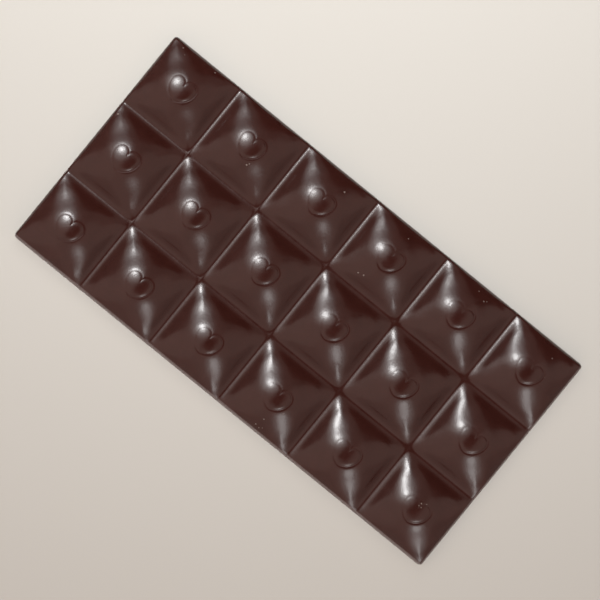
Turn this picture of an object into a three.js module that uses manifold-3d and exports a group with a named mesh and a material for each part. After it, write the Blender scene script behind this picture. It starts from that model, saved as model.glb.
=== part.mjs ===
// A moulded bar of dark chocolate, in millimetres, +Z up.
// It is one solid: a thin slab with steep sides and a rounded rim, parted by a grid of break
// channels into square cells. Each cell swells into a pillow, square at its foot and round at its
// crown, with a low heart on its crown. The rim trims the outer pillows. The back is flat.
// X runs along the bar, Y across it, and the origin is the middle of the flat back.

import * as THREE from 'three';
import { mergeVertices } from 'three/addons/utils/BufferGeometryUtils.js';
import Module from 'manifold-3d';

// The bar
const BAR_LENGTH = 156;
const BAR_WIDTH = 77;
const COLUMNS = 6;
const ROWS = 3;
const CORNER_RADIUS = 1.4;
const CORNER_SEGMENTS = 4;
const DRAFT_ANGLE = THREE.MathUtils.degToRad(4);
const WALL_HEIGHT = 4.3;
const RIM_WIDTH = 0.9;
const RIM_RISE = 1.4;
const RIM_STEPS = 3;
const CHOCOLATE_COLOUR = 0x452c28;

// The break channels: rounded valleys that the pillows run down into. Their reaches are how far
// from the middle of a channel its slopes have points.
const PITCH = 26.36;
const CHANNEL_FLOOR_HEIGHT = 4.6;
const CHANNEL_FLOOR_WIDTH = 0.5;
const CHANNEL_CURVATURE = 0.38;
const CHANNEL_REACHES = [1, 2.2];

// The pillows: a soft cone that steepens outward
const PILLOW_HALF = 12.53;
const CONE_HEIGHT = 10.3;
const CONE_SLOPE = 0.35;
const CONE_ROUNDING = 1.2;
const FLARE_DROP = 2.2;
const FLARE_EXPONENT = 3.9;
const CROWN_SQUARENESS = 2;
const FOOT_SQUARENESS = 16;
const SQUARENESS_GROWTH = 8;
const CELL_SIDES = 24;
const PILLOW_SHARES = [0.8, 0.66, 0.52, 0.42];

// The hearts: two round lobes on a rounded point, with a flat dome for a top, in a shallow moat
const HEART_LOBE_RADIUS = 2.1;
const HEART_LOBE_OFFSET = 1.9;
const HEART_LOBE_HEIGHT = 1.35;
const HEART_POINT_DEPTH = 3.8;
const HEART_SIDE_SHARE = 0.9;
const HEART_TOP_HEIGHT = 9.6;
const HEART_DOME = 0.35;
const MOAT_DEPTH = 0.4;
const HEART_REACH = 4.1;
const HEART_SHARE = HEART_REACH / PILLOW_HALF;

// The foot of a cell reaches into the slab below it, so that they fuse into one solid.
const ROOT_DEPTH = 1;

const wasm = await Module();
wasm.setup();

// Height of a pillow, by the share of the way from its crown to its foot.
function pillowHeight(share) {
  const cone = CONE_SLOPE * (Math.hypot(share * PILLOW_HALF, CONE_ROUNDING) - CONE_ROUNDING);
  return CONE_HEIGHT - cone - FLARE_DROP * share ** FLARE_EXPONENT;
}

// A point on a ring of a cell. Small rings are round, and the outermost is a square with small
// round corners.
function onRing(share, angle) {
  const growth = share ** SQUARENESS_GROWTH;
  const squareness = THREE.MathUtils.lerp(CROWN_SQUARENESS, FOOT_SQUARENESS, growth);
  const side = Math.abs(Math.cos(angle)) ** squareness + Math.abs(Math.sin(angle)) ** squareness;
  const reach = (share * PILLOW_HALF) / side ** (1 / squareness);
  return new THREE.Vector2(reach * Math.cos(angle), reach * Math.sin(angle));
}

// How far a ray from the origin goes before it leaves a circle.
function rayLength(direction, centre, radius) {
  const along = direction.dot(centre);
  return along + Math.sqrt(radius ** 2 - centre.lengthSq() + along ** 2);
}

// A point on a heart's edge, or as far inside it as asked. Lobes are towards +Y, the point towards
// -Y. The lobes are circles, and wider arcs lead from their sides down to the point.
function onHeart(scale, angle) {
  const direction = new THREE.Vector2(Math.cos(angle), Math.sin(angle));
  const ray = new THREE.Vector2(Math.abs(direction.x), direction.y);
  const width = HEART_LOBE_OFFSET + HEART_LOBE_RADIUS;
  const drop = HEART_POINT_DEPTH + HEART_LOBE_HEIGHT;
  const arcRadius = (width ** 2 + drop ** 2) / (2 * width);
  const lobe = new THREE.Vector2(HEART_LOBE_OFFSET, HEART_LOBE_HEIGHT);
  const arc = new THREE.Vector2(width - arcRadius, HEART_LOBE_HEIGHT);
  const inLobe = ray.y * width > ray.x * HEART_LOBE_HEIGHT;
  const edge = inLobe ? rayLength(ray, lobe, HEART_LOBE_RADIUS) : rayLength(ray, arc, arcRadius);
  return direction.multiplyScalar(scale * edge);
}

// Moves every vertex of a geometry by a function that changes a point in place.
function reshape(geometry, move) {
  const places = geometry.attributes.position;
  const point = new THREE.Vector3();
  for (let i = 0; i < places.count; i += 1) {
    move(point.fromBufferAttribute(places, i));
    places.setXYZ(i, point.x, point.y, point.z);
  }
  return geometry;
}

// The profile that one cell is turned from, from the axis below it round to its crown. Distances
// from the axis are along the middle of a side.
function cellProfile() {
  const cellHalf = PITCH / 2 - CHANNEL_FLOOR_WIDTH / 2;
  const profile = [
    new THREE.Vector2(0, CHANNEL_FLOOR_HEIGHT - ROOT_DEPTH),
    new THREE.Vector2(cellHalf, CHANNEL_FLOOR_HEIGHT - ROOT_DEPTH),
    new THREE.Vector2(cellHalf, CHANNEL_FLOOR_HEIGHT),
  ];
  for (const reach of CHANNEL_REACHES) {
    const rise = (CHANNEL_CURVATURE / 2) * reach ** 2;
    profile.push(new THREE.Vector2(PITCH / 2 - reach, CHANNEL_FLOOR_HEIGHT + rise));
  }
  for (const share of PILLOW_SHARES) {
    profile.push(new THREE.Vector2(share * PILLOW_HALF, pillowHeight(share)));
  }
  profile.push(new THREE.Vector2(HEART_REACH, pillowHeight(HEART_SHARE) - MOAT_DEPTH));
  for (const scale of [HEART_SIDE_SHARE, HEART_SIDE_SHARE / 2, 0]) {
    profile.push(new THREE.Vector2(scale * HEART_REACH, HEART_TOP_HEIGHT - HEART_DOME * scale ** 2));
  }
  return profile;
}

// One cell: the pillow with its heart, and its side of the channels round it.
function cell() {
  const turned = new THREE.LatheGeometry(cellProfile(), CELL_SIDES).rotateX(Math.PI / 2);
  const heartLimit = (HEART_SHARE + PILLOW_SHARES.at(-1)) / 2;
  return reshape(turned, (point) => {
    const share = Math.hypot(point.x, point.y) / PILLOW_HALF;
    const angle = Math.atan2(point.y, point.x);
    const isHeart = share < heartLimit;
    const place = isHeart ? onHeart(share / HEART_SHARE, angle) : onRing(share, angle);
    point.x = place.x;
    point.y = place.y;
  });
}

// The bar's outline seen from above: a rectangle with small round corners.
function barOutline() {
  const x = BAR_LENGTH / 2 - CORNER_RADIUS;
  const y = BAR_WIDTH / 2 - CORNER_RADIUS;
  const quarter = Math.PI / 2;
  const outline = new THREE.Shape();
  outline.absarc(x, -y, CORNER_RADIUS, -quarter, 0);
  outline.absarc(x, y, CORNER_RADIUS, 0, quarter);
  outline.absarc(-x, y, CORNER_RADIUS, quarter, 2 * quarter);
  outline.absarc(-x, -y, CORNER_RADIUS, 2 * quarter, 3 * quarter);
  return outline;
}

// The section of the bar's sides, from the back up: heights, and how far in each lies from the
// outline. A steep wall carries a quarter-round rim, and the last point clears the hearts.
function sideProfile() {
  const wallInset = WALL_HEIGHT * Math.tan(DRAFT_ANGLE);
  const profile = [{ height: 0, inset: 0 }];
  for (let step = 0; step <= RIM_STEPS; step += 1) {
    const turn = (step / RIM_STEPS) * (Math.PI / 2);
    profile.push({
      height: WALL_HEIGHT + RIM_RISE * Math.sin(turn),
      inset: wallInset + RIM_WIDTH * (1 - Math.cos(turn)),
    });
  }
  profile.push({ height: HEART_TOP_HEIGHT + ROOT_DEPTH, inset: profile.at(-1).inset });
  return profile;
}

// A block on the bar's outline whose sides follow the section. It starts with its levels one apart.
function trimmingBlock() {
  const profile = sideProfile();
  const levels = profile.length - 1;
  const block = new THREE.ExtrudeGeometry(barOutline(), {
    depth: levels,
    steps: levels,
    bevelEnabled: false,
    curveSegments: CORNER_SEGMENTS,
  });
  return reshape(block, (point) => {
    const { height, inset } = profile[Math.round(point.z)];
    point.x *= 1 - inset / (BAR_LENGTH / 2);
    point.y *= 1 - inset / (BAR_WIDTH / 2);
    point.z = height;
  });
}

// A closed geometry as a solid that can be joined and cut.
function solid(geometry) {
  geometry.deleteAttribute('normal');
  geometry.deleteAttribute('uv');
  const merged = mergeVertices(geometry, 1e-4);
  return new wasm.Manifold(new wasm.Mesh({
    numProp: 3,
    vertProperties: new Float32Array(merged.attributes.position.array),
    triVerts: new Uint32Array(merged.index.array),
  }));
}

// The geometry of a solid.
function geometryOf(body) {
  const mesh = body.getMesh();
  const geometry = new THREE.BufferGeometry();
  geometry.setAttribute('position', new THREE.BufferAttribute(mesh.vertProperties, 3));
  geometry.setIndex(new THREE.BufferAttribute(mesh.triVerts, 1));
  geometry.computeVertexNormals();
  return geometry;
}

// The whole bar: the slab and its cells, trimmed to the sides and the rim. The slab starts out
// larger than the bar all round and below, so that every side of the bar comes from the trimming.
function chocolateBar() {
  const slabDepth = CHANNEL_FLOOR_HEIGHT + ROOT_DEPTH;
  const slab = new THREE.BoxGeometry(COLUMNS * PITCH, ROWS * PITCH, slabDepth);
  const oneCell = solid(cell());
  let bar = solid(slab.translate(0, 0, CHANNEL_FLOOR_HEIGHT - slabDepth / 2));
  for (let column = 0; column < COLUMNS; column += 1) {
    for (let row = 0; row < ROWS; row += 1) {
      const x = (column - (COLUMNS - 1) / 2) * PITCH;
      const y = (row - (ROWS - 1) / 2) * PITCH;
      bar = bar.add(oneCell.translate([x, y, 0]));
    }
  }
  return bar.intersect(solid(trimmingBlock()));
}

const chocolate = new THREE.MeshStandardMaterial({
  color: CHOCOLATE_COLOUR,
  roughness: 0.35,
  metalness: 0,
});
const barMesh = new THREE.Mesh(geometryOf(chocolateBar()), chocolate);
barMesh.name = 'chocolate_bar';

const group = new THREE.Group();
group.add(barMesh);

export default group;
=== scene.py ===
import math
import random

import bmesh
import bpy
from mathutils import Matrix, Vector, noise


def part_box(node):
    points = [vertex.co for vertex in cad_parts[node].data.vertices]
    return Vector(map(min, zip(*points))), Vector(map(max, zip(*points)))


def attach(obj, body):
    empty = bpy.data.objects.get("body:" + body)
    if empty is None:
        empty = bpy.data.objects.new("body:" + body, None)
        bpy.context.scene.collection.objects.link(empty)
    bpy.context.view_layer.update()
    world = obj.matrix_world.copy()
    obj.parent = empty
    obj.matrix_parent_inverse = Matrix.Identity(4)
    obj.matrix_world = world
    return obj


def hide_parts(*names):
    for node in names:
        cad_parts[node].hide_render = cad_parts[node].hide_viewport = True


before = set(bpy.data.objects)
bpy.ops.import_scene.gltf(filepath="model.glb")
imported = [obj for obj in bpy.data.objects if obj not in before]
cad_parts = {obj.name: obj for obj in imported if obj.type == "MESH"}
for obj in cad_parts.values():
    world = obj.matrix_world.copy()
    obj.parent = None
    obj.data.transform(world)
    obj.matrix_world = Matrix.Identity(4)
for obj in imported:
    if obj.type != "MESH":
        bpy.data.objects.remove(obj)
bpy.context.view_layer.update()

# A moulded bar of tempered dark chocolate, lying on its flat back, with a few crumbs on it.
# Lengths are in millimetres, and the finished meshes and the camera's place are scaled to metres.
# The stage is in metres throughout.

NODE = "chocolate_bar"
MM = 0.001
BAR_LOW, BAR_HIGH = (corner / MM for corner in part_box(NODE))

# The bar and its cells
BAR_HALF_LENGTH = (BAR_HIGH.x - BAR_LOW.x) / 2
BAR_HALF_WIDTH = (BAR_HIGH.y - BAR_LOW.y) / 2
COLUMNS = 6
ROWS = 3
PITCH = 26.36
CORNER_RADIUS = 1.4
DRAFT_ANGLE = math.radians(4)
RIM_WIDTH = 0.9
RIM_DROP = 0.9

# The break channels: rounded valleys that the pillows run down into. Their slopes stop rising
# CHANNEL_REACH from the middle of the channel, where the pillow is the higher of the two.
CHANNEL_FLOOR_HEIGHT = 4.6
CHANNEL_SLOPE = 0.74
CHANNEL_ROUNDING = 1.3
CHANNEL_REACH = 2.2
CHANNEL_FILLET = 0.1

# The pillows: a cone that steepens outward, with a wide round crown. A pillow's foot is PILLOW_HALF
# from its middle, and the channel's slope covers the last stretch before it.
PILLOW_HALF = 12.53
CROWN_HEIGHT = 9.54
CROWN_CURVATURE = 0.064
CROWN_BLEND = 0.1
CONE_HEIGHT = 10.3
CONE_SLOPE = 0.35
CONE_ROUNDING = 1.2
FLARE_DROP = 2.2
FLARE_EXPONENT = 3.9
CROWN_SQUARENESS = 2.0
FOOT_SQUARENESS = 16.0
SQUARENESS_GROWTH = 9.0
SQUARENESS_ROUNDS = 8

# The hearts: two round lobes on a rounded point, in low relief, each with a fine groove round it
# that is deepest on its right and shallowest on its left
HEART_LOBE_RADIUS = 2.25
HEART_LOBE_OFFSET = 2.0
HEART_LOBE_HEIGHT = 1.35
HEART_POINT_DEPTH = 3.8
HEART_POINT_ROUNDING = 0.3
HEART_RISE = 0.015
HEART_WALL_WIDTH = 0.8
HEART_GROOVE_DEPTH = 0.085
HEART_GROOVE_SWING = 0.8
HEART_GROOVE_TURN = math.radians(-15)
HEART_GROOVE_OFFSET = -0.05
HEART_GROOVE_WIDTH = 0.27
HEART_REACH = 4.25
HEART_HALF_WIDTH = HEART_LOBE_OFFSET + HEART_LOBE_RADIUS
HEART_DROP = HEART_POINT_DEPTH + HEART_LOBE_HEIGHT
HEART_ARC_RADIUS = (HEART_HALF_WIDTH**2 + HEART_DROP**2) / (2 * HEART_HALF_WIDTH)

# The mesh of one cell: rings from the crown to the middle of the channels, closest together at the
# heart's edge, which is HEART_REACH out, and in the channels. Each stretch has its start, its end
# and its number of rings. Rings turn from the heart's outline to a square between HEART_OUTER and
# SQUARE_FROM, and their points crowd towards its corners. Beyond OUTER_FROM the outer cells are
# squeezed in to the bar's outline.
CELL_SIDES = 96
HEART_INNER = 0.88 * HEART_REACH
HEART_OUTER = 1.12 * HEART_REACH
RING_STRETCHES = (
    (0.0, HEART_INNER, 10),
    (HEART_INNER, HEART_OUTER, 10),
    (HEART_OUTER, 6.0, 5),
    (6.0, 10.4, 8),
    (10.4, PITCH / 2, 17),
)
SQUARE_FROM = 9.5
EDGE_CROWDING = 0.45
OUTER_FROM = 9.4
SPIN_WELD = 0.01
CELL_WELD = 0.004


# Heights and outlines


def smoothstep(low, high, value):
    t = min(max((value - low) / (high - low), 0.0), 1.0)
    return t * t * (3 - 2 * t)


def mix(a, b, share):
    return a + (b - a) * share


def soft_min(a, b, reach):
    """The lower of two heights, with the crease between them rounded off."""
    overlap = max(reach - abs(a - b), 0.0) / reach
    return min(a, b) - overlap * overlap * reach / 4


def soft_max(a, b, reach):
    """The higher of two heights, with the crease between them filled by a fillet."""
    return -soft_min(-a, -b, reach)


def ring_share(x, y):
    """How far out a point of a cell lies: 0 at the crown, 1 at the pillow's foot.

    Rings are round near the crown and grow into squares with small round corners. A ring's share
    sets how square it is, and that sets the share, so the two are settled in a few rounds."""
    far = max(abs(x), abs(y)) / PILLOW_HALF
    near = min(abs(x), abs(y)) / PILLOW_HALF
    share = far
    for _ in range(SQUARENESS_ROUNDS):
        squareness = mix(CROWN_SQUARENESS, FOOT_SQUARENESS, min(share, 1.0) ** SQUARENESS_GROWTH)
        share = (far**squareness + near**squareness) ** (1 / squareness)
    return share


def cell_height(x, y):
    """Height of the moulded face, without its heart, at a point of a cell."""
    share = ring_share(x, y)
    reach = share * PILLOW_HALF
    cone = CONE_SLOPE * (math.hypot(reach, CONE_ROUNDING) - CONE_ROUNDING)
    flank = CONE_HEIGHT - cone - FLARE_DROP * share**FLARE_EXPONENT
    crown = CROWN_HEIGHT - CROWN_CURVATURE / 2 * reach * reach
    pillow = soft_min(flank, crown, CROWN_BLEND)
    beside = min(abs(PITCH / 2 - reach), CHANNEL_REACH)
    channel_rise = CHANNEL_SLOPE * (math.hypot(beside, CHANNEL_ROUNDING) - CHANNEL_ROUNDING)
    return soft_max(pillow, CHANNEL_FLOOR_HEIGHT + channel_rise, CHANNEL_FILLET)


def beyond_heart(x, y):
    """How far a point lies beyond a heart's edge."""
    up = y - HEART_LOBE_HEIGHT
    if up > 0:
        return math.hypot(abs(x) - HEART_LOBE_OFFSET, up) - HEART_LOBE_RADIUS
    across = math.hypot(x, HEART_POINT_ROUNDING) - HEART_HALF_WIDTH + HEART_ARC_RADIUS
    return math.hypot(across, up) - HEART_ARC_RADIUS


def heart_rise(x, y):
    """What a heart, and the fine groove round it, add to the height of the pillow."""
    edge = beyond_heart(x, y)
    inside = 1 - smoothstep(-HEART_WALL_WIDTH / 2, HEART_WALL_WIDTH / 2, edge)
    swing = HEART_GROOVE_SWING * math.cos(math.atan2(y, x) - HEART_GROOVE_TURN)
    from_groove = (edge - HEART_GROOVE_OFFSET) / HEART_GROOVE_WIDTH
    groove = HEART_GROOVE_DEPTH * (1 + swing) * math.exp(-from_groove * from_groove / 2)
    return HEART_RISE * inside - groove


def ray_length(direction, centre, radius):
    """How far a ray from the origin goes before it leaves a circle."""
    along = direction.dot(centre)
    return along + math.sqrt(radius * radius - centre.length_squared + along * along)


def on_heart(scale, angle):
    """A point on a heart's edge, or as far out of it as asked. Lobes are towards +Y."""
    direction = Vector((math.cos(angle), math.sin(angle)))
    ray = Vector((abs(direction.x), direction.y))
    if ray.y * HEART_HALF_WIDTH > ray.x * HEART_LOBE_HEIGHT:
        edge = ray_length(ray, Vector((HEART_LOBE_OFFSET, HEART_LOBE_HEIGHT)), HEART_LOBE_RADIUS)
    else:
        arc_centre = Vector((HEART_HALF_WIDTH - HEART_ARC_RADIUS, HEART_LOBE_HEIGHT))
        edge = ray_length(ray, arc_centre, HEART_ARC_RADIUS)
    return direction * (scale * edge)


def on_square(reach, angle):
    """A point on a ring that is round at the heart and square at the channel."""
    side = round(angle / (math.pi / 2)) * math.pi / 2
    along = (angle - side) / (math.pi / 4)
    crowded = mix(along, math.sin(along * math.pi / 2), EDGE_CROWDING)
    squareness = smoothstep(HEART_OUTER, SQUARE_FROM, reach)
    angle = side + mix(along * math.pi / 4, math.atan(crowded), squareness)
    pull = squareness * math.sin(2 * angle)
    length = reach * math.sqrt(2 / (1 + math.sqrt(max(1 - pull * pull, 0))))
    return Vector((length * math.cos(angle), length * math.sin(angle)))


def cell_middle(index, count):
    """Where the middle of a column or a row of cells lies."""
    return (index - (count - 1) / 2) * PITCH


def outer_side(place, centre, half):
    """Moves a place beyond the outer pillow's side in, so that the last ring meets the outline."""
    if abs(centre) + PITCH < half:
        return place
    side = math.copysign(1, centre)
    local = place * side
    if local <= OUTER_FROM:
        return place
    squeeze = (half - abs(centre) - OUTER_FROM) / (PITCH / 2 - OUTER_FROM)
    return side * (OUTER_FROM + (local - OUTER_FROM) * squeeze)


def over_corner(x, y):
    """How far a point lies past the middle of the nearest round corner, along the bar and across."""
    return abs(x) - BAR_HALF_LENGTH + CORNER_RADIUS, abs(y) - BAR_HALF_WIDTH + CORNER_RADIUS


def round_corner(x, y):
    """Moves a point of the bar's plan in, so that the bar's corners are round."""
    over_x, over_y = over_corner(x, y)
    if over_x <= 0 or over_y <= 0:
        return x, y
    a = over_x / CORNER_RADIUS
    b = over_y / CORNER_RADIUS
    x = math.copysign(abs(x) - over_x + over_x * math.sqrt(1 - b * b / 2), x)
    y = math.copysign(abs(y) - over_y + over_y * math.sqrt(1 - a * a / 2), y)
    return x, y


def rim_height(x, y, top):
    """Height near the bar's outline: the moulded face rounded over to the steep side wall."""
    over_x, over_y = over_corner(x, y)
    if over_x > 0 and over_y > 0:
        inside = CORNER_RADIUS - math.hypot(over_x, over_y)
    else:
        inside = CORNER_RADIUS - max(over_x, over_y)
    wall_width = CHANNEL_FLOOR_HEIGHT * math.tan(DRAFT_ANGLE)
    over = 1 - min(max((inside - wall_width) / RIM_WIDTH, 0), 1)
    rim = top - RIM_DROP * (1 - math.sqrt(1 - over * over))
    return min(rim, max(inside, 0) / math.tan(DRAFT_ANGLE))


# The bar


def turns_out(element):
    """How many turns out from the middle of a disc an edge or a face is reached.

    Edges along a ring come on even turns, and the faces and edges between two rings on odd ones."""
    middle = sum((vert.co for vert in element.verts), Vector()) / len(element.verts)
    return round(2 * middle.length) + math.atan2(middle.y, middle.x) / math.tau


def flat_cell():
    """A flat disc of rings, a unit apart, that each cell is shaped from.

    Spinning leaves edges and faces in an order that varies from run to run, so they are sorted."""
    disc = bmesh.new()
    rings = sum(count for _, _, count in RING_STRETCHES)
    spoke = [disc.verts.new((ring, 0, 0)) for ring in range(rings + 1)]
    edges = [disc.edges.new(pair) for pair in zip(spoke, spoke[1:])]
    bmesh.ops.spin(disc, geom=spoke + edges, cent=(0, 0, 0), axis=(0, 0, 1),
                   angle=math.tau, steps=CELL_SIDES, use_merge=True)
    bmesh.ops.remove_doubles(disc, verts=disc.verts, dist=SPIN_WELD)
    disc.edges.sort(key=turns_out)
    disc.faces.sort(key=turns_out)
    return disc


def ring_reaches():
    """How far each ring of a cell lies from its middle."""
    reaches = [0.0]
    for start, end, count in RING_STRETCHES:
        reaches += [mix(start, end, (step + 1) / count) for step in range(count)]
    return reaches


def shape_cell(disc):
    """Turns the flat disc into one cell round the origin, with its heart.

    Only the heart's own height is set here, and the pillow's is added with each cell's place."""
    reaches = ring_reaches()
    for vert in disc.verts:
        ring = round(math.hypot(vert.co.x, vert.co.y))
        angle = math.atan2(vert.co.y, vert.co.x)
        reach = reaches[ring]
        heart_part = 1 - smoothstep(HEART_OUTER, SQUARE_FROM, reach)
        place = on_square(reach, angle).lerp(on_heart(reach / HEART_REACH, angle), heart_part)
        vert.co = (place.x, place.y, heart_rise(place.x, place.y))


def add_cell(bar, cell, centre_x, centre_y):
    """Adds a copy of the cell to the bar, fitted to the bar's outline."""
    disc = cell.copy()
    for vert in disc.verts:
        x = centre_x + outer_side(vert.co.x, centre_x, BAR_HALF_LENGTH)
        y = centre_y + outer_side(vert.co.y, centre_y, BAR_HALF_WIDTH)
        x, y = round_corner(x, y)
        top = cell_height(x - centre_x, y - centre_y) + vert.co.z
        vert.co = (x, y, rim_height(x, y, top))
    mesh = bpy.data.meshes.new("cell")
    disc.to_mesh(mesh)
    disc.free()
    bar.from_mesh(mesh)
    bpy.data.meshes.remove(mesh)


def finished_mesh(name, shape, material):
    """A closed shape in millimetres as a mesh in metres, with its faces pointing outwards."""
    bmesh.ops.recalc_face_normals(shape, faces=shape.faces)
    bmesh.ops.scale(shape, vec=(MM, MM, MM), verts=shape.verts)
    mesh = bpy.data.meshes.new(name)
    shape.to_mesh(mesh)
    shape.free()
    mesh.materials.append(material)
    return mesh


def moulded_bar_shape():
    """The whole bar as one closed shape: its cells, joined at the channels, and its flat back."""
    cell = flat_cell()
    shape_cell(cell)
    bar = bmesh.new()
    for column in range(COLUMNS):
        for row in range(ROWS):
            add_cell(bar, cell, cell_middle(column, COLUMNS), cell_middle(row, ROWS))
    cell.free()
    bmesh.ops.remove_doubles(bar, verts=bar.verts, dist=CELL_WELD)
    outline = [edge for edge in bar.edges if edge.is_boundary]
    for edge in outline:
        for vert in edge.verts:
            vert.co.z = 0
    bmesh.ops.contextual_create(bar, geom=outline)
    return bar


# The camera's frame: the camera hangs straight above the bar, and the scale is that of the floor

FRAME_PIXELS = 600
PIXELS_PER_MM = 3.354
CAMERA_HEIGHT = 680
CAMERA_TURN = math.radians(39.1)
BAR_CENTRE_PIXEL = Vector((298.14, 300.8))


def under_pixel(column, row, height=0.0):
    """The place that a pixel of the frame shows, at a height."""
    right = Vector((math.cos(CAMERA_TURN), math.sin(CAMERA_TURN)))
    up = Vector((-right.y, right.x))
    offset = (Vector((column, row)) - BAR_CENTRE_PIXEL) / PIXELS_PER_MM
    place = right * offset.x - up * offset.y
    return place * (1 - height / CAMERA_HEIGHT)


# The crumbs. Each has the column and the row of the pixel that it lies under, and its width.

CRUMBS = (
    (214.9, 72.9, 0.5), (117.9, 114.1, 0.6), (246.6, 164.9, 0.55), (249.3, 163.9, 0.4),
    (344.4, 192.2, 0.65), (358.2, 272.6, 0.5), (363.8, 275.1, 0.55), (408.4, 238.9, 0.4),
    (478.9, 291.3, 0.4), (483.6, 301.6, 0.5), (486.7, 301.9, 0.4), (551.9, 358.7, 0.45),
    (544.5, 377.3, 0.4), (421.5, 503.4, 0.45), (421.2, 507.6, 0.35), (426.6, 504.4, 0.3),
    (419.0, 505.6, 0.3), (183.2, 48.0, 0.45), (184.6, 55.1, 0.3), (264.0, 419.0, 0.5),
    (256.0, 423.8, 0.45), (259.0, 427.6, 0.35), (262.4, 427.8, 0.3), (283.0, 414.0, 0.35),
)

# How flat, how uneven and how finely lumped a grain is, and how far apart grains lie in the noise
CRUMB_SEED = 5
CRUMB_SQUASH = 0.6
CRUMB_ROUGHNESS = 0.5
CRUMB_LUMPS = 2.5
NOISE_SPAN = 90


def face_height(x, y):
    """Height of the moulded face at a point of the bar that is clear of the rim."""
    column = min(max(round(x / PITCH + (COLUMNS - 1) / 2), 0), COLUMNS - 1)
    row = min(max(round(y / PITCH + (ROWS - 1) / 2), 0), ROWS - 1)
    x -= cell_middle(column, COLUMNS)
    y -= cell_middle(row, ROWS)
    return cell_height(x, y) + heart_rise(x, y)


def crumb_shapes():
    """All the crumbs as one shape of closed grains. Each is a lumpy, flattened ball."""
    random.seed(CRUMB_SEED)
    crumbs = bmesh.new()
    for column, row, width in CRUMBS:
        place = under_pixel(column, row, CHANNEL_FLOOR_HEIGHT)
        height = face_height(place.x, place.y)
        place = under_pixel(column, row, height)
        grain = bmesh.ops.create_icosphere(crumbs, subdivisions=2, radius=width / 2)["verts"]
        seed = Vector([random.uniform(0, NOISE_SPAN) for _ in range(3)])
        for vert in grain:
            vert.co *= 1 + CRUMB_ROUGHNESS * noise.noise(vert.co * CRUMB_LUMPS / width + seed)
        bmesh.ops.scale(crumbs, vec=(1, 1, CRUMB_SQUASH), verts=grain)
        bmesh.ops.translate(crumbs, vec=(place.x, place.y, height), verts=grain)
    return crumbs


# Materials

# The skin of the bar: its two browns, its gloss where it is clear and where it is cloudy, and how
# large its clouds and its waves are
SKIN_DARK = "#371610"
SKIN_LIGHT = "#441f19"
SKIN_IOR = 1.6
CLEAR_ROUGHNESS = 0.17
CLOUDY_ROUGHNESS = 0.24
CLOUD_SIZE = 4
CLOUD_RANGE = (0.3, 0.7)
WAVE_SIZE = 1.2
WAVE_HEIGHT = 0.02

# Painted reflection: a pale band along the front and right edges, standing in for the pale floor
# mirrored in the side walls. Widths are from the bar's side in to where the band starts to show,
# and the fade is how soon it is at its full strength
PAINTED_REFLECTION_COLOUR = "#918584"
PAINTED_REFLECTION_ROUGHNESS = 0.6
FRONT_REFLECTION_WIDTH = 1.35
RIGHT_REFLECTION_WIDTH = 1.15
REFLECTION_FADE = 0.7
REFLECTION_SPECKLE_SIZE = 0.28
REFLECTION_SPECKLE_RANGE = (0.4, 0.58)
REFLECTION_SPECKLE_LEAST = 0.42

CRUMB_DARK = "#6c5853"
CRUMB_PALE = "#a6978f"
CRUMB_DULLNESS = 0.7
CRUMB_MOTTLE_SIZE = 0.2

FLOOR_COLOUR = "#beb3a7"
FLOOR_ROUGHNESS = 0.9


def srgb(code):
    """An sRGB hex colour as linear RGBA."""
    channels = [int(code[i:i + 2], 16) / 255 for i in (1, 3, 5)]
    linear = [c / 12.92 if c <= 0.04045 else ((c + 0.055) / 1.055) ** 2.4 for c in channels]
    return (*linear, 1.0)


def node(tree, kind, inputs, **properties):
    """Adds a node with its properties set. Each input gets a value, or a link from a socket."""
    made = tree.nodes.new(kind)
    for name, value in properties.items():
        setattr(made, name, value)
    for key, value in inputs.items():
        if isinstance(value, bpy.types.NodeSocket):
            tree.links.new(value, made.inputs[key])
        else:
            made.inputs[key].default_value = value
    return made


def new_material(name):
    """A new material, with its node tree and its shader."""
    material = bpy.data.materials.new(name)
    material.use_nodes = True
    return material, material.node_tree, material.node_tree.nodes["Principled BSDF"]


def own_coordinates(tree):
    """A point's place on the object, in metres."""
    return node(tree, "ShaderNodeTexCoord", {}).outputs["Object"]


def add_painted_reflection(tree, place):
    """A mask of painted reflection: a narrow speckled band along two edges, where the side walls
    would mirror the pale floor.

    Real speckle is finer, and it is drawn as coarse as it needs to be to show."""
    axes = node(tree, "ShaderNodeSeparateXYZ", {"Vector": place}).outputs
    speckle = node(tree, "ShaderNodeTexNoise", {
        "Vector": place, "Scale": 1 / (REFLECTION_SPECKLE_SIZE * MM), "Detail": 2, "Roughness": 0.6})
    front_start = -BAR_HALF_WIDTH + FRONT_REFLECTION_WIDTH
    right_start = BAR_HALF_LENGTH - RIGHT_REFLECTION_WIDTH
    front = node(tree, "ShaderNodeMapRange", {
        "Value": axes["Y"], "From Min": front_start * MM,
        "From Max": (front_start - REFLECTION_FADE) * MM}, interpolation_type="SMOOTHSTEP")
    right = node(tree, "ShaderNodeMapRange", {
        "Value": axes["X"], "From Min": right_start * MM,
        "From Max": (right_start + REFLECTION_FADE) * MM}, interpolation_type="SMOOTHSTEP")
    band = node(tree, "ShaderNodeMath", {
        0: front.outputs["Result"], 1: right.outputs["Result"]}, operation="MAXIMUM")
    grains = node(tree, "ShaderNodeMapRange", {
        "Value": speckle.outputs["Fac"], "From Min": REFLECTION_SPECKLE_RANGE[0],
        "From Max": REFLECTION_SPECKLE_RANGE[1], "To Min": REFLECTION_SPECKLE_LEAST})
    both = node(tree, "ShaderNodeMath", {
        0: band.outputs["Value"], 1: grains.outputs["Result"]}, operation="MULTIPLY")
    return both.outputs["Value"]


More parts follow.
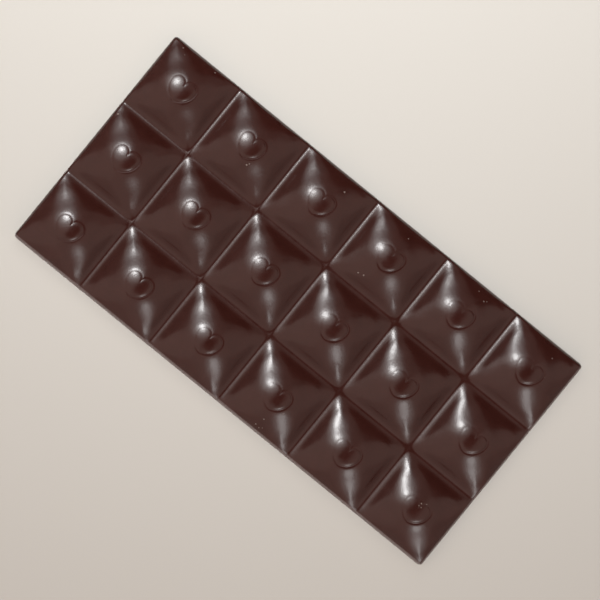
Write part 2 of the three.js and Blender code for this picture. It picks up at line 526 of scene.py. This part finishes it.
def tempered_dark_chocolate():
    # Poured tempered and left to set in a polished mould: a glossy skin, faintly cloudy and wavy.
    # At the front and right edges a pale matte band is painted on: a painted reflection of the
    # floor.
    material, tree, shader = new_material("tempered_dark_chocolate")
    place = own_coordinates(tree)
    cloud = node(tree, "ShaderNodeTexNoise", {
        "Vector": place, "Scale": 1 / (CLOUD_SIZE * MM), "Detail": 4, "Roughness": 0.65})
    skin = node(tree, "ShaderNodeMix", {
        0: cloud.outputs["Fac"], 6: srgb(SKIN_DARK), 7: srgb(SKIN_LIGHT)}, data_type="RGBA")
    sheen = node(tree, "ShaderNodeMapRange", {
        "Value": cloud.outputs["Fac"], "From Min": CLOUD_RANGE[0], "From Max": CLOUD_RANGE[1],
        "To Min": CLEAR_ROUGHNESS, "To Max": CLOUDY_ROUGHNESS})
    # Painted reflection: the pale band at the front and right edges stands in for the mirrored
    # floor.
    painted_reflection = add_painted_reflection(tree, place)
    colour = node(tree, "ShaderNodeMix", {
        0: painted_reflection, 6: skin.outputs[2], 7: srgb(PAINTED_REFLECTION_COLOUR)}, data_type="RGBA")
    roughness = node(tree, "ShaderNodeMix", {
        0: painted_reflection, 2: sheen.outputs["Result"], 3: PAINTED_REFLECTION_ROUGHNESS})
    wave = node(tree, "ShaderNodeTexNoise", {
        "Vector": place, "Scale": 1 / (WAVE_SIZE * MM), "Detail": 3, "Roughness": 0.6})
    bump = node(tree, "ShaderNodeBump", {
        "Distance": WAVE_HEIGHT * MM, "Height": wave.outputs["Fac"]})
    tree.links.new(colour.outputs[2], shader.inputs["Base Color"])
    tree.links.new(roughness.outputs[0], shader.inputs["Roughness"])
    tree.links.new(bump.outputs["Normal"], shader.inputs["Normal"])
    shader.inputs["IOR"].default_value = SKIN_IOR
    return material


def chocolate_crumb():
    # Dry crumbs and shavings, broken from the edges: pale, mottled and matte, as a fracture is.
    material, tree, shader = new_material("chocolate_crumb")
    mottle = node(tree, "ShaderNodeTexNoise", {
        "Vector": own_coordinates(tree), "Scale": 1 / (CRUMB_MOTTLE_SIZE * MM), "Detail": 2})
    colour = node(tree, "ShaderNodeMix", {
        0: mottle.outputs["Fac"], 6: srgb(CRUMB_DARK), 7: srgb(CRUMB_PALE)}, data_type="RGBA")
    tree.links.new(colour.outputs[2], shader.inputs["Base Color"])
    shader.inputs["Roughness"].default_value = CRUMB_DULLNESS
    return material


def pale_paper_floor():
    # A plain sheet of matte paper, with no gloss at any angle.
    material, _, shader = new_material("pale_paper_floor")
    shader.inputs["Base Color"].default_value = srgb(FLOOR_COLOUR)
    shader.inputs["Roughness"].default_value = FLOOR_ROUGHNESS
    shader.inputs["Specular IOR Level"].default_value = 0
    return material


# The stage, in metres: a pale floor, and a tent of soft warm-white panels that the camera looks into
# through a dark gap in its ceiling. East is +X and north is +Y.

FLOOR_HALF = 3
TENT_HEIGHT = 1.0
TENT_REACH = 1.4
GAP_WEST, GAP_EAST = -0.12, 0.3
GAP_SOUTH, GAP_NORTH = -0.32, 0.28
TENT_COLOUR = "#ffe9dd"
ROOM_GLOW = 0.03

# Each panel of the ceiling: its west, east, south and north sides, and how brightly it glows
CEILING = {
    "ceiling_north": (-TENT_REACH, GAP_EAST, GAP_NORTH, 0.9 * TENT_REACH, 0.27),
    "ceiling_east": (GAP_EAST, TENT_REACH, GAP_SOUTH, 0.7 * TENT_REACH, 0.5),
    "ceiling_south": (GAP_WEST, TENT_REACH, -TENT_REACH, GAP_SOUTH, 0.54),
    "ceiling_west": (-TENT_REACH, GAP_WEST, -TENT_REACH, GAP_NORTH, 0.64),
}

# Each wall: its place, and how brightly it glows. The north side is open.
WALLS = {
    "wall_east": (TENT_REACH, 0, 0.35),
    "wall_south": (0, -TENT_REACH, 0.44),
    "wall_west": (-TENT_REACH, 0, 0.16),
}

# Each lamp on the bar: azimuth and zenith in degrees, distance, width, and power in watts. The wider
# lamps round each small one give its reflection a soft edge.
BAR_LAMPS = {
    "key_lamp": (155, 33, 0.6, 0.115, 0.73),
    "key_diffuser": (155, 33, 0.61, 0.28, 0.44),
    "key_umbrella": (155, 33, 0.63, 0.5, 0.52),
    "low_lamp": (-40, 46, 0.6, 0.16, 0.19),
    "low_diffuser": (-40, 47, 0.61, 0.34, 0.16),
}

# The lamp on the floor, which gives it a gentle fade and no shadow: as above, with a colour
FLOOR_LAMP = (129, 38, 0.5, 0.3, 4.25)
FLOOR_LAMP_COLOUR = "#e6f4ff"


def add_object(name, data):
    made = bpy.data.objects.new(name, data)
    bpy.context.scene.collection.objects.link(made)
    return made


def add_floor():
    plan = bmesh.new()
    bmesh.ops.create_grid(plan, x_segments=1, y_segments=1, size=FLOOR_HALF)
    mesh = bpy.data.meshes.new("floor")
    plan.to_mesh(mesh)
    plan.free()
    mesh.materials.append(pale_paper_floor())
    floor = add_object("floor", mesh)
    return floor


def add_softbox(name, place, target, size, power, colour="#ffffff", shape="RECTANGLE"):
    """A soft light at a place, turned to face a target."""
    lamp = bpy.data.lights.new(name, "AREA")
    lamp.shape = shape
    lamp.size, lamp.size_y = size
    lamp.energy = power
    lamp.color = srgb(colour)[:3]
    made = add_object(name, lamp)
    made.location = place
    made.rotation_euler = (Vector(place) - Vector(target)).to_track_quat("Z", "Y").to_euler()
    return made


def place_towards(azimuth, zenith, distance):
    """A place as far from the bar's middle as asked, with its angles in degrees."""
    a, z = math.radians(azimuth), math.radians(zenith)
    return (distance * math.sin(z) * math.cos(a), distance * math.sin(z) * math.sin(a),
            distance * math.cos(z))


def light_only(lamps, things):
    """Keeps lamps from lighting anything else."""
    lit = bpy.data.collections.new("lit")
    for thing in things:
        lit.objects.link(thing)
    for lamp in lamps:
        lamp.light_linking.receiver_collection = lit


def light_bar(things):
    """The lamps that shine in the bar's skin."""
    lamps = []
    for name, (azimuth, zenith, distance, width, power) in BAR_LAMPS.items():
        place = place_towards(azimuth, zenith, distance)
        lamps.append(add_softbox(name, place, (0, 0, 0), (width, width), power, shape="ELLIPSE"))
    light_only(lamps, things)


def light_floor(floor):
    azimuth, zenith, distance, width, power = FLOOR_LAMP
    lamp = add_softbox("floor_lamp", place_towards(azimuth, zenith, distance), (0, 0, 0),
                       (width, width), power, FLOOR_LAMP_COLOUR)
    lamp.data.use_shadow = False
    light_only([lamp], [floor])


def add_panel(name, place, target, size, glow):
    """A panel of the tent. Its power follows from its size and how brightly it glows."""
    add_softbox(name, place, target, size, math.pi * size[0] * size[1] * glow, TENT_COLOUR)


def add_tent():
    for name, (west, east, south, north, glow) in CEILING.items():
        x, y = (west + east) / 2, (south + north) / 2
        add_panel(name, (x, y, TENT_HEIGHT), (x, y, 0), (east - west, north - south), glow)
    level = TENT_HEIGHT / 2
    for name, (x, y, glow) in WALLS.items():
        add_panel(name, (x, y, level), (0, 0, level), (2 * TENT_REACH, TENT_HEIGHT), glow)


def light_room():
    """The faint light of the room round the tent, seen in the gap."""
    world = bpy.data.worlds.new("studio")
    world.use_nodes = True
    background = world.node_tree.nodes["Background"]
    background.inputs["Color"].default_value = srgb("#ffffff")
    background.inputs["Strength"].default_value = ROOM_GLOW
    bpy.context.scene.world = world


def add_camera():
    """A camera straight above the bar, turned about its own axis."""
    camera = bpy.data.cameras.new("camera")
    frame_width = FRAME_PIXELS / PIXELS_PER_MM
    camera.lens = camera.sensor_width * CAMERA_HEIGHT / frame_width
    centre = under_pixel(FRAME_PIXELS / 2, FRAME_PIXELS / 2)
    made = add_object("camera", camera)
    made.location = Vector((centre.x, centre.y, CAMERA_HEIGHT)) * MM
    made.rotation_euler = (0, 0, CAMERA_TURN)
    bpy.context.scene.camera = made


# The finished pieces


def lay_bar():
    """The bar, which stands for the CAD node."""
    mesh = finished_mesh("moulded_bar", moulded_bar_shape(), tempered_dark_chocolate())
    for face in mesh.polygons:
        face.use_smooth = True
    bar = add_object("moulded_bar", mesh)
    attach(bar, "root")
    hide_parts(NODE)
    return bar


def scatter_crumbs():
    """The crumbs that lie on the bar."""
    crumbs = add_object("crumbs", finished_mesh("crumbs", crumb_shapes(), chocolate_crumb()))
    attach(crumbs, "root")
    return crumbs


pieces = (lay_bar(), scatter_crumbs())
floor = add_floor()
light_bar(pieces)
light_floor(floor)
add_tent()
light_room()
add_camera()
bpy.context.scene.view_settings.view_transform = "Standard"
